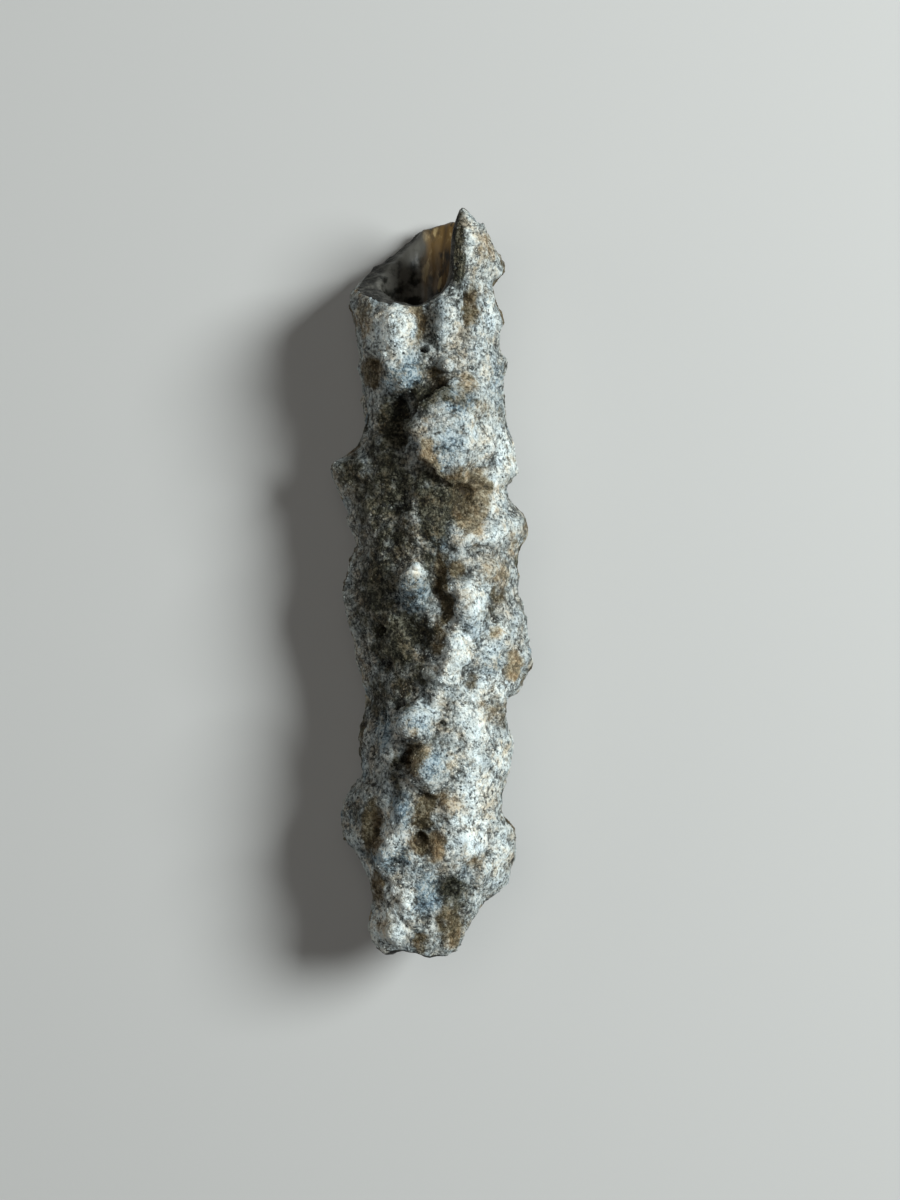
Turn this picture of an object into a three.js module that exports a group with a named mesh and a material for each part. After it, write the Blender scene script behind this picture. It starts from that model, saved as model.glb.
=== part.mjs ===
// A fulgurite: a hollow tube of sand fused by lightning, broken across at both ends, lying on its side.
// Millimetres. +Y runs along the tube towards its wide broken mouth, +X is its right side and +Z is up.
// The origin is on the surface that it lies on, under the middle of its bounding box.

import * as THREE from "three";
import { ImprovedNoise } from "three/addons/math/ImprovedNoise.js";

// Driving dimensions.
const MOUTH_Y = 37.0; // tip of the broken mouth
const TAIL_Y = -37.1; // tip of the broken tail
const AXIS_HEIGHT = 7.7; // height of the tube's middle line above the surface that it lies on
const CRUST_RADIUS = 7.5; // typical radius of the rough sandy outside
const BORE_RADIUS = 4.0; // typical radius of the smooth glassy inside

// Fineness of the mesh.
const SEGMENTS = 52; // round the tube
const CRUST_ROWS = 70; // along the outside
const BORE_ROWS = 16; // along the inside
const RIM_STEPS = 3; // across the broken wall at each end

// Where each end's slanted break starts to draw the mesh rows with it.
const MOUTH_BREAK_FROM = 20;
const TAIL_BREAK_FROM = -30;

const mix = THREE.MathUtils.lerp;
const noise = new ImprovedNoise();

// The value at `at` on straight lines through [place, value] points, listed in falling order of place.
function along(points, at) {
  if (at >= points[0][0]) return points[0][1];
  for (let i = 1; i < points.length; i += 1) {
    const [from, high] = points[i - 1];
    const [to, low] = points[i];
    if (at >= to) return mix(low, high, (at - to) / (from - to));
  }
  return points[points.length - 1][1];
}

// The value at an angle in degrees between [angle, value] points that go once round, eased between them.
function around(points, angle) {
  const turn = THREE.MathUtils.euclideanModulo(angle, 360);
  for (let i = 0; i < points.length; i += 1) {
    const [from, here] = points[i];
    const [next, there] = points[(i + 1) % points.length];
    const to = next > from ? next : next + 360;
    const place = turn < from ? turn + 360 : turn;
    if (place >= from && place <= to) {
      return mix(here, there, (1 - Math.cos((Math.PI * (place - from)) / (to - from))) / 2);
    }
  }
  return points[0][1];
}

// Middle line of the tube: [y, x].
const MIDDLE_X = [
  [37, -0.8], [28, -0.8], [18, 0.2], [10, -0.4], [0, 0.0],
  [-8, 0.8], [-16, 0.4], [-24, -0.2], [-30, -0.6], [-37, -1.6],
];

// Outline of the right side: [y, x], from mouth to tail.
const RIGHT_OUTLINE = [
  [36.5, 5.0], [34.8, 6.1], [33.0, 6.6], [31.2, 7.3], [30.5, 7.3], [29.7, 5.6], [28.0, 6.4], [26.9, 6.6],
  [26.0, 7.2], [24.2, 6.8], [22.8, 6.6], [21.6, 7.5], [19.0, 7.1], [16.5, 7.2], [14.5, 7.9], [12.0, 8.5],
  [10.3, 8.7], [9.6, 7.5], [8.6, 7.4], [7.4, 8.4], [5.6, 9.5], [4.0, 9.3], [2.6, 8.5], [0.0, 8.7],
  [-3.0, 9.1], [-5.5, 9.5], [-7.8, 10.1], [-9.2, 9.8], [-10.0, 9.1], [-11.2, 8.5], [-12.6, 6.2],
  [-14.0, 7.0], [-16.2, 8.3], [-18.0, 7.8], [-20.4, 7.1], [-23.5, 6.6], [-24.1, 6.8], [-24.7, 8.7],
  [-25.6, 8.4], [-27.5, 8.4], [-29.5, 7.9], [-30.6, 7.3], [-31.5, 5.8], [-33.2, 4.5], [-34.2, 3.0],
  [-35.4, 3.3], [-36.6, 2.6],
];

// Outline of the left side: [y, x], from mouth to tail.
const LEFT_OUTLINE = [
  [30.5, -7.2], [29.4, -8.0], [28.4, -8.3], [26.0, -7.8], [22.0, -7.2], [19.0, -6.75], [16.0, -6.3],
  [14.2, -6.6], [12.9, -7.7], [12.0, -9.7], [11.0, -10.2], [10.0, -9.9], [8.4, -8.9], [7.2, -8.3],
  [5.0, -8.1], [3.6, -7.4], [2.4, -7.9], [1.2, -8.4], [-0.5, -8.8], [-2.5, -9.0], [-5.0, -8.0],
  [-8.0, -7.4], [-10.5, -6.7], [-12.2, -6.3], [-14.2, -7.0], [-16.5, -7.3], [-19.5, -6.6], [-21.0, -8.1],
  [-22.5, -9.0], [-24.0, -9.0], [-25.8, -8.8], [-27.1, -7.5], [-28.5, -6.9], [-29.2, -5.1], [-30.4, -4.9],
  [-31.4, -5.5], [-33.0, -5.7], [-34.8, -6.4], [-36.0, -6.1],
];

// Radius of the crust between the two side outlines, by station along the tube. Each row is y, then the
// radius at each of these angles: 0 is the right side, 90 the top, 180 the left side and 270 underneath.
const SECTION_ANGLES = [35, 60, 85, 112, 142, 215, 250, 285, 322];
const SECTIONS = [
  [37, 6.8, 6.6, 6.4, 6.6, 7.0, 7.2, 7.3, 7.3, 7.2],
  [28, 7.0, 7.0, 6.7, 7.0, 7.6, 7.4, 7.1, 7.2, 7.0],
  [20, 7.1, 7.1, 6.9, 7.1, 7.1, 6.9, 7.3, 7.4, 7.1],
  [12, 7.5, 7.4, 6.9, 6.7, 6.9, 7.4, 7.0, 7.2, 7.5],
  [4, 7.9, 7.6, 7.1, 6.8, 7.1, 7.3, 7.5, 7.1, 7.6],
  [-4, 8.2, 7.8, 7.2, 6.9, 7.2, 7.5, 7.0, 7.3, 7.7],
  [-12, 7.6, 7.6, 7.2, 6.9, 6.5, 6.7, 7.1, 7.0, 7.4],
  [-20, 7.5, 7.4, 7.1, 6.9, 6.9, 7.1, 7.3, 7.3, 7.0],
  [-27, 7.5, 7.2, 6.8, 7.0, 7.3, 7.3, 6.9, 6.9, 7.1],
  [-32, 6.2, 6.0, 6.0, 6.3, 5.9, 5.8, 6.3, 6.2, 6.2],
  [-37, 5.0, 5.3, 5.6, 5.8, 5.3, 5.2, 5.6, 5.5, 5.1],
];

// Knobs and ridges (rise above 0) and hollows and grooves (rise below 0) that stand on the crust. The ones
// on top are placed by x as well as y, and the others by angle round the tube. long and wide are half sizes
// along and round the tube, lean turns long towards the right side, and a low edge makes a flat top with
// steep sides.
const TOP_RELIEF = [
  // Lip of the mouth.
  { x: 5.2, y: 33.0, rise: 0.8, long: 2.6, wide: 1.8, edge: 0.7 },
  { x: 5.2, y: 29.9, rise: -0.7, long: 1.1, wide: 2.2 },
  { x: -3.8, y: 24.6, rise: 1.5, long: 4.0, wide: 2.5, edge: 0.7 },
  { x: -3.1, y: 20.2, rise: 1.3, long: 1.9, wide: 2.2, edge: 0.6 },
  { x: -1.0, y: 24.6, rise: -0.9, long: 4.4, wide: 1.4 },
  { x: 1.6, y: 25.6, rise: 1.2, long: 3.4, wide: 1.9, edge: 0.8 },
  { x: 1.1, y: 21.4, rise: 1.2, long: 1.5, wide: 1.5 },
  { x: 4.0, y: 27.0, rise: -0.8, long: 2.1, wide: 1.4 },
  { x: 5.4, y: 24.2, rise: 0.5, long: 3.0, wide: 1.5 },
  { x: 0.2, y: 19.3, rise: -0.9, long: 1.5, wide: 2.0 },
  { x: -6.0, y: 21.4, rise: -0.6, long: 1.8, wide: 1.5 },
  // Sunken patch on the left, and the three-cornered plate that overhangs it.
  { x: -3.4, y: 15.4, rise: -1.5, long: 3.3, wide: 2.8, edge: 0.6 },
  { x: 1.3, y: 14.2, rise: 2.0, long: 4.7, wide: 2.7, edge: 0.4, lean: -27 },
  { x: 2.9, y: 17.4, rise: 1.3, long: 3.9, wide: 2.4, edge: 0.5, lean: 50 },
  { x: 5.8, y: 13.0, rise: 0.6, long: 3.0, wide: 1.8 },
  { x: 3.4, y: 8.0, rise: -1.6, long: 3.6, wide: 2.0, edge: 0.7, lean: 26 },
  { x: 6.8, y: 10.9, rise: 0.8, long: 2.0, wide: 1.3, edge: 0.7 },
  { x: 4.6, y: 4.6, rise: 1.1, long: 1.6, wide: 4.2, edge: 0.8, lean: -16 },
  { x: -4.4, y: 7.4, rise: -0.7, long: 4.4, wide: 2.6, edge: 0.5 },
  { x: -7.2, y: 10.9, rise: 0.7, long: 1.8, wide: 1.5 },
  { x: -6.8, y: 6.7, rise: 0.6, long: 1.7, wide: 1.4 },
  // Middle: a small knob, a groove and the long ridge beside it.
  { x: -1.9, y: -0.5, rise: 1.6, long: 2.6, wide: 1.6, edge: 0.6 },
  { x: 0.4, y: -0.6, rise: -1.1, long: 4.0, wide: 1.6 },
  { x: 2.2, y: -0.8, rise: 1.2, long: 1.6, wide: 1.7, edge: 0.8 },
  { x: 3.5, y: -3.0, rise: 1.3, long: 3.4, wide: 2.2, edge: 0.7, lean: 8 },
  { x: 1.8, y: -7.8, rise: 1.1, long: 3.6, wide: 2.1, edge: 0.7, lean: 30 },
  { x: 5.8, y: -2.0, rise: -0.7, long: 3.0, wide: 1.3 },
  { x: -1.8, y: -5.6, rise: -0.8, long: 3.2, wide: 1.9, edge: 0.6 },
  { x: -6.4, y: -1.5, rise: 0.5, long: 2.6, wide: 1.5 },
  { x: 7.2, y: -8.2, rise: -0.7, long: 1.7, wide: 1.3 },
  { x: 6.8, y: -5.7, rise: 0.7, long: 1.6, wide: 1.5 },
  { x: 5.6, y: -11.4, rise: -0.6, long: 1.6, wide: 1.6 },
  { x: 2.2, y: -10.7, rise: 0.7, long: 1.4, wide: 1.6 },
  // Two knobs in line, with hollows between them.
  { x: -1.8, y: -13.8, rise: 2.0, long: 2.1, wide: 2.0, edge: 0.55 },
  { x: -0.4, y: -18.4, rise: 1.8, long: 2.3, wide: 1.9, edge: 0.55 },
  { x: -2.6, y: -17.3, rise: -1.0, long: 2.2, wide: 1.7 },
  { x: -5.3, y: -16.8, rise: 0.7, long: 2.2, wide: 1.0 },
  { x: 4.2, y: -15.6, rise: 0.8, long: 3.2, wide: 1.8, edge: 0.8 },
  { x: 2.8, y: -19.2, rise: -0.5, long: 2.0, wide: 1.2 },
  // Round lobe on the left with a hollow in it, and the pit in the middle.
  { x: -7.0, y: -23.8, rise: 0.5, long: 3.6, wide: 2.2 },
  { x: -6.0, y: -24.0, rise: -1.2, long: 3.0, wide: 1.5 },
  { x: -3.3, y: -22.8, rise: 1.1, long: 2.8, wide: 1.7, lean: 10 },
  { x: -0.7, y: -25.5, rise: -1.4, long: 2.4, wide: 2.1 },
  { x: -4.6, y: -26.8, rise: 1.0, long: 3.2, wide: 1.5, lean: 41 },
  { x: 1.9, y: -22.6, rise: 1.0, long: 2.6, wide: 1.5 },
  { x: 3.7, y: -26.0, rise: 0.8, long: 2.0, wide: 1.6 },
  { x: 5.6, y: -29.4, rise: 0.6, long: 1.6, wide: 1.6 },
  // Tail.
  { x: 1.8, y: -30.2, rise: -1.3, long: 1.8, wide: 2.3, edge: 0.7 },
  { x: -5.0, y: -30.3, rise: -0.5, long: 1.3, wide: 1.3 },
  { x: -2.9, y: -32.0, rise: 0.7, long: 1.9, wide: 1.1 },
  { x: -0.6, y: -33.4, rise: -0.5, long: 2.2, wide: 1.1 },
  { x: -4.5, y: -34.8, rise: 0.7, long: 1.8, wide: 1.5 },
  { x: 1.6, y: -34.3, rise: -0.6, long: 1.8, wide: 1.3 },
];
const SIDE_AND_UNDER_RELIEF = [
  // Right side, just off the outline.
  { y: 26.2, angle: 338, rise: 0.9, long: 2.6, wide: 1.8 },
  { y: 17.0, angle: 322, rise: 1.2, long: 2.4, wide: 2.2, edge: 0.7 },
  { y: 6.0, angle: 334, rise: -0.9, long: 2.0, wide: 1.6 },
  { y: -10.6, angle: 336, rise: 0.8, long: 1.8, wide: 1.9 },
  { y: -19.4, angle: 330, rise: 1.1, long: 2.2, wide: 2.0, edge: 0.7 },
  // Left side, just off the outline.
  { y: 17.6, angle: 206, rise: 1.0, long: 2.6, wide: 1.9 },
  { y: 0.4, angle: 213, rise: -0.8, long: 2.2, wide: 1.5 },
  { y: -7.4, angle: 204, rise: 0.9, long: 2.4, wide: 1.8, edge: 0.7 },
  { y: -15.6, angle: 212, rise: 0.7, long: 1.9, wide: 1.9 },
  { y: -22.6, angle: 198, rise: 0.6, long: 2.4, wide: 1.6 },
  // Underneath: the knobs that it rests on, with ridges and hollows between them.
  { y: 23.0, angle: 250, rise: 1.6, long: 3.2, wide: 2.6, edge: 0.6 },
  { y: 18.6, angle: 296, rise: 1.6, long: 3.0, wide: 2.4, edge: 0.6 },
  { y: 29.4, angle: 282, rise: 0.7, long: 3.0, wide: 1.7 },
  { y: 11.6, angle: 270, rise: -0.8, long: 2.6, wide: 1.8 },
  { y: 8.2, angle: 243, rise: 1.1, long: 2.6, wide: 2.0 },
  { y: 3.0, angle: 292, rise: 1.3, long: 3.0, wide: 1.9, edge: 0.7 },
  { y: -0.8, angle: 262, rise: -0.9, long: 3.0, wide: 1.4 },
  { y: -6.0, angle: 244, rise: 1.2, long: 2.2, wide: 1.8 },
  { y: -9.4, angle: 280, rise: 0.9, long: 2.6, wide: 1.7 },
  { y: -14.6, angle: 262, rise: -0.7, long: 1.8, wide: 1.6 },
  { y: -17.4, angle: 294, rise: 1.5, long: 2.6, wide: 2.2, edge: 0.6 },
  { y: -21.6, angle: 249, rise: 1.7, long: 3.0, wide: 2.6, edge: 0.6 },
  { y: -26.2, angle: 286, rise: 0.9, long: 2.2, wide: 1.8 },
  { y: -30.4, angle: 254, rise: 0.8, long: 2.0, wide: 1.6 },
];

// How far the mouth's broken edge reaches along the tube at each angle: [angle, y].
const MOUTH_EDGE = [
  [0, 33.6], [14, 34.5], [28, 34.8], [34.6, 35.1], [41.5, 35.9], [48.5, 36.6], [55.4, 36.5], [62.3, 30.1],
  [69, 28.5], [78, 27.9], [90, 27.3], [101, 26.8], [116, 27.0], [132, 27.5], [150, 28.2], [170, 28.8],
  [185, 29.5], [207, 30.7], [226, 32.0], [241, 33.1], [254, 34.1], [264, 35.4], [284, 36.0], [296, 36.3],
  [306, 35.9], [325, 34.7], [345, 34.2],
];

// How far the tail's broken edge reaches, in the same way.
const TAIL_EDGE = [
  [0, -36.2], [25, -36.8], [52, -37.0], [72, -37.1], [92, -36.6], [108, -36.4], [130, -36.9], [152, -36.6],
  [180, -35.6], [205, -34.6], [230, -35.2], [255, -34.2], [280, -33.4], [305, -34.4], [335, -34.0],
];

// Middle line and radius of the glassy bore: [y, x] and [y, radius].
const BORE_X = [
  [37, -0.2], [31, -0.4], [26, -0.7], [14, -0.3], [0, 0.1], [-14, 0.1], [-26, -0.6], [-37, -1.5],
];
const BORE_SIZE = [
  [37, 5.1], [31, 4.7], [26, 4.1], [14, 3.9], [0, 4.1], [-14, 3.8], [-26, 3.7], [-32, 3.4], [-37, 3.4],
];

const RELIEF = [...TOP_RELIEF, ...SIDE_AND_UNDER_RELIEF];

// Uneven growth of the crust, bigger than a grain of sand and smaller than a knob.
const LUMP_SIZE = 3.1;
const LUMP_RISE = 0.42;
const WARP_SIZE = 9;
const WARP_SHIFT = 0.7;

// Rounding of the broken edges: how much the crust draws in at the edge, over what length, and how far the
// broken wall stands out between its edges.
const EDGE_DRAW_IN = 0.5;
const EDGE_LENGTH = 1.6;
const EDGE_SWELL = 0.2;

// Flutes that run along the bore.
const FLUTES = 5;
const FLUTE_DEPTH = 0.18;

const RADIANS = Math.PI / 180;

// Noise on the tube's skin at one size, from -1 to 1, the same all round at 0 and 360 degrees.
function skinNoise(y, angle, size) {
  const turn = angle * RADIANS;
  const x = (CRUST_RADIUS * Math.cos(turn)) / size;
  const z = (CRUST_RADIUS * Math.sin(turn)) / size;
  return noise.noise(x + 11.3, y / size + 5.7, z + 2.9);
}

// Radius given by the side outlines and the stations between them.
function bodyRadius(y, angle) {
  const middle = along(MIDDLE_X, y);
  const right = along(RIGHT_OUTLINE, y) - middle;
  const left = middle - along(LEFT_OUTLINE, y);
  const ring = SECTION_ANGLES.map((at, i) => [at, along(SECTIONS.map((row) => [row[0], row[i + 1]]), y)]);
  const ordered = [[0, right], ...ring, [180, left]].sort((a, b) => a[0] - b[0]);
  return around(ordered, angle);
}

// What one knob or hollow adds to the radius.
function reliefAt(feature, y, angle) {
  const { rise, long, wide, edge = 1, lean = 0 } = feature;
  const middle = along(MIDDLE_X, feature.y);
  const facing = feature.angle ?? Math.acos((feature.x - middle) / (CRUST_RADIUS * 1.05)) / RADIANS;
  const turn = THREE.MathUtils.euclideanModulo(facing - angle + 180, 360) - 180;
  const away = new THREE.Vector2(turn * RADIANS * CRUST_RADIUS, y - feature.y);
  away.rotateAround(new THREE.Vector2(), lean * RADIANS);
  const distance = Math.hypot(away.x / wide, away.y / long);
  return distance < 1 ? rise * ((1 + Math.cos(Math.PI * distance)) / 2) ** edge : 0;
}

// Radius of the outside. The features wander a little except on the two side outlines.
function crustRadius(y, angle) {
  const offSide = Math.sin(angle * RADIANS) ** 2;
  const warped = y + WARP_SHIFT * offSide * skinNoise(y, angle + 140, WARP_SIZE);
  const coarse = LUMP_RISE * skinNoise(y, angle, LUMP_SIZE);
  const lumps = coarse + (LUMP_RISE / 2) * skinNoise(y, angle, LUMP_SIZE / 2);
  const relief = RELIEF.reduce((sum, feature) => sum + reliefAt(feature, warped, angle), 0);
  const fromEdge = Math.min(around(MOUTH_EDGE, angle) - y, y - around(TAIL_EDGE, angle));
  const drawIn = EDGE_DRAW_IN * (1 - THREE.MathUtils.smoothstep(fromEdge, 0, EDGE_LENGTH));
  return bodyRadius(warped, angle) + relief + lumps * mix(0.35, 1, offSide) - drawIn;
}

// Radius of the inside, which is melted smooth and fluted along its length.
function boreRadius(y, angle) {
  const flutes = FLUTE_DEPTH * Math.cos(FLUTES * angle * RADIANS + y / 14);
  return along(BORE_SIZE, y) + flutes + FLUTE_DEPTH * skinNoise(y / 3, angle, LUMP_SIZE * 2);
}

// The outline that is turned into the tube: up the outside, over the mouth, down the inside, over the tail.
function wallProfile() {
  const points = [];
  const add = (radius, y) => points.push(new THREE.Vector2(radius, y));
  for (let i = 0; i <= CRUST_ROWS; i += 1) add(CRUST_RADIUS, mix(TAIL_Y, MOUTH_Y, i / CRUST_ROWS));
  for (let i = 1; i < RIM_STEPS; i += 1) add(mix(CRUST_RADIUS, BORE_RADIUS, i / RIM_STEPS), MOUTH_Y);
  for (let i = 0; i <= BORE_ROWS; i += 1) add(BORE_RADIUS, mix(MOUTH_Y, TAIL_Y, i / BORE_ROWS));
  for (let i = 1; i < RIM_STEPS; i += 1) add(mix(BORE_RADIUS, CRUST_RADIUS, i / RIM_STEPS), TAIL_Y);
  add(CRUST_RADIUS, TAIL_Y);
  return points;
}

// Draws a plain tube's row in so that the last row lies on the slanted break at each end.
function brokenY(y, angle) {
  if (y > MOUTH_BREAK_FROM) {
    const share = (y - MOUTH_BREAK_FROM) / (MOUTH_Y - MOUTH_BREAK_FROM);
    return mix(MOUTH_BREAK_FROM, around(MOUTH_EDGE, angle), share);
  }
  if (y < TAIL_BREAK_FROM) {
    const share = (TAIL_BREAK_FROM - y) / (TAIL_BREAK_FROM - TAIL_Y);
    return mix(TAIL_BREAK_FROM, around(TAIL_EDGE, angle), share);
  }
  return y;
}

// Moves each point of the plain tube to its place on the crust, the bore or the broken wall between them.
function growTube(geometry) {
  const place = geometry.getAttribute("position");
  const point = new THREE.Vector3();
  for (let i = 0; i < place.count; i += 1) {
    point.fromBufferAttribute(place, i);
    const turn = Math.atan2(point.z, point.x);
    const angle = turn / RADIANS;
    const outward = (Math.hypot(point.x, point.z) - BORE_RADIUS) / (CRUST_RADIUS - BORE_RADIUS);
    const swell = EDGE_SWELL * Math.sin(Math.PI * THREE.MathUtils.clamp(outward, 0, 1)) * Math.sign(point.y);
    const y = brokenY(point.y, angle) + swell;
    const radius = mix(boreRadius(y, angle), crustRadius(y, angle), outward);
    const middle = mix(along(BORE_X, y), along(MIDDLE_X, y), outward);
    const z = AXIS_HEIGHT + radius * Math.sin(turn);
    place.setXYZ(i, middle + radius * Math.cos(turn), y, Math.max(z, 0));
  }
}

function makeFulgurite() {
  const geometry = new THREE.LatheGeometry(wallProfile(), SEGMENTS);
  growTube(geometry);
  geometry.computeBoundingBox();
  const middle = geometry.boundingBox.getCenter(new THREE.Vector3());
  geometry.translate(-middle.x, -middle.y, 0);
  geometry.deleteAttribute("uv");
  geometry.computeVertexNormals();
  const sandyGlass = new THREE.MeshStandardMaterial({ color: "#8b8478", roughness: 0.8, metalness: 0 });
  const mesh = new THREE.Mesh(geometry, sandyGlass);
  mesh.name = "fulgurite";
  return mesh;
}

const fulgurite = new THREE.Group();
fulgurite.add(makeFulgurite());

export default fulgurite;
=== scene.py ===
"""The looks of a fulgurite: its crust of half-melted sand, its glassy bore, its sand grains and the stage."""

import math
import random

import bmesh
import bpy
from bpy.props import FloatProperty, FloatVectorProperty, IntProperty, PointerProperty
from mathutils import Euler, Matrix, Vector, noise
from mathutils.bvhtree import BVHTree


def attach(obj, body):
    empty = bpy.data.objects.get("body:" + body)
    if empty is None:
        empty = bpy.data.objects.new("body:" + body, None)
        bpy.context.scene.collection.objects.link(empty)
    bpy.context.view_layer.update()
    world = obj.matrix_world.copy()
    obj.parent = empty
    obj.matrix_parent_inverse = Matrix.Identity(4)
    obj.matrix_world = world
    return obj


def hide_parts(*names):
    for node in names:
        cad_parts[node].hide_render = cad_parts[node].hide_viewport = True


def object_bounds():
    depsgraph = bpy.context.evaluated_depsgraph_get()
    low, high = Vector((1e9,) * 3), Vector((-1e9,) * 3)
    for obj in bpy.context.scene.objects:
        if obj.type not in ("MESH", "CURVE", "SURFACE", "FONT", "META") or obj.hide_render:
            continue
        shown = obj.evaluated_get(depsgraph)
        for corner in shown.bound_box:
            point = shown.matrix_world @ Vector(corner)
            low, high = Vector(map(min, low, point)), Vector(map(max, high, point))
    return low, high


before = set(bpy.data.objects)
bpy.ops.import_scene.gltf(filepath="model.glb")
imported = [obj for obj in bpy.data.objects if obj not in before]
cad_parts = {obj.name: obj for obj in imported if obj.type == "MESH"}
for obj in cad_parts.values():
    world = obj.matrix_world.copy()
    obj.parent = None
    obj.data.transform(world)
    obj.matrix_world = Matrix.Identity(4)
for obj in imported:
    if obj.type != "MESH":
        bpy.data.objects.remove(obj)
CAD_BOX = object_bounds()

bl_info = {
    "name": "Fulgurite",
    "version": (1, 0, 0),
    "blender": (4, 5, 0),
    "location": "3D View > Sidebar > Fulgurite",
    "description": "Grows the crust, the glass lining and the grains of a fulgurite, and sets its stage",
    "category": "Object",
}

MM = 0.001
NODE = "fulgurite"
BODY = "root"

# Lengths along the tube and across it, in mm.
AXIS_HEIGHT = 7.7  # height of the bore's middle line above the floor
BORE_LIMIT = 6.0  # the lining stays nearer than this to the bore's middle line
MOUTH_BREAK = 27.0  # where the mouth's broken wall begins
TAIL_BREAK = -32.0  # where the tail's broken wall begins
FULL_RELIEF = 0.45  # a rise above the surroundings that counts as a full one
CLEAR_HEIGHT = 0.6  # no grain is stuck to the crust lower than this
ABOVE = 30.0  # a height well above the tube
CROWN_DEPTH = 0.6  # how far below the solid's highest point the crust starts to be eased down
CROWN_EASE = 0.5  # how strongly it is: a millimetre above there becomes 1 / (1 + this)

SETTLING_PASSES = 16  # smoothing passes that turn the crust into its own surroundings
GRAIN_BATCH = 160  # grains made in one bmesh
GRAIN_SINK = 0.5  # how deep a grain's middle sits in the crust, as a share of its radius
GRAIN_STRETCH = ((0.8, 1.25), (0.75, 1.1), (0.6, 0.95))  # range of a grain's length, width and thickness

# Where each noise is read, so that no two of them run together.
CRAG_SHIFT = Vector((7.1, 3.3, 9.7))
GRIT_SHIFT = Vector((1.9, 8.4, 4.2))
ROUGH_PATCH_SHIFT = Vector((2.7, 6.1, 0.3))

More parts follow.
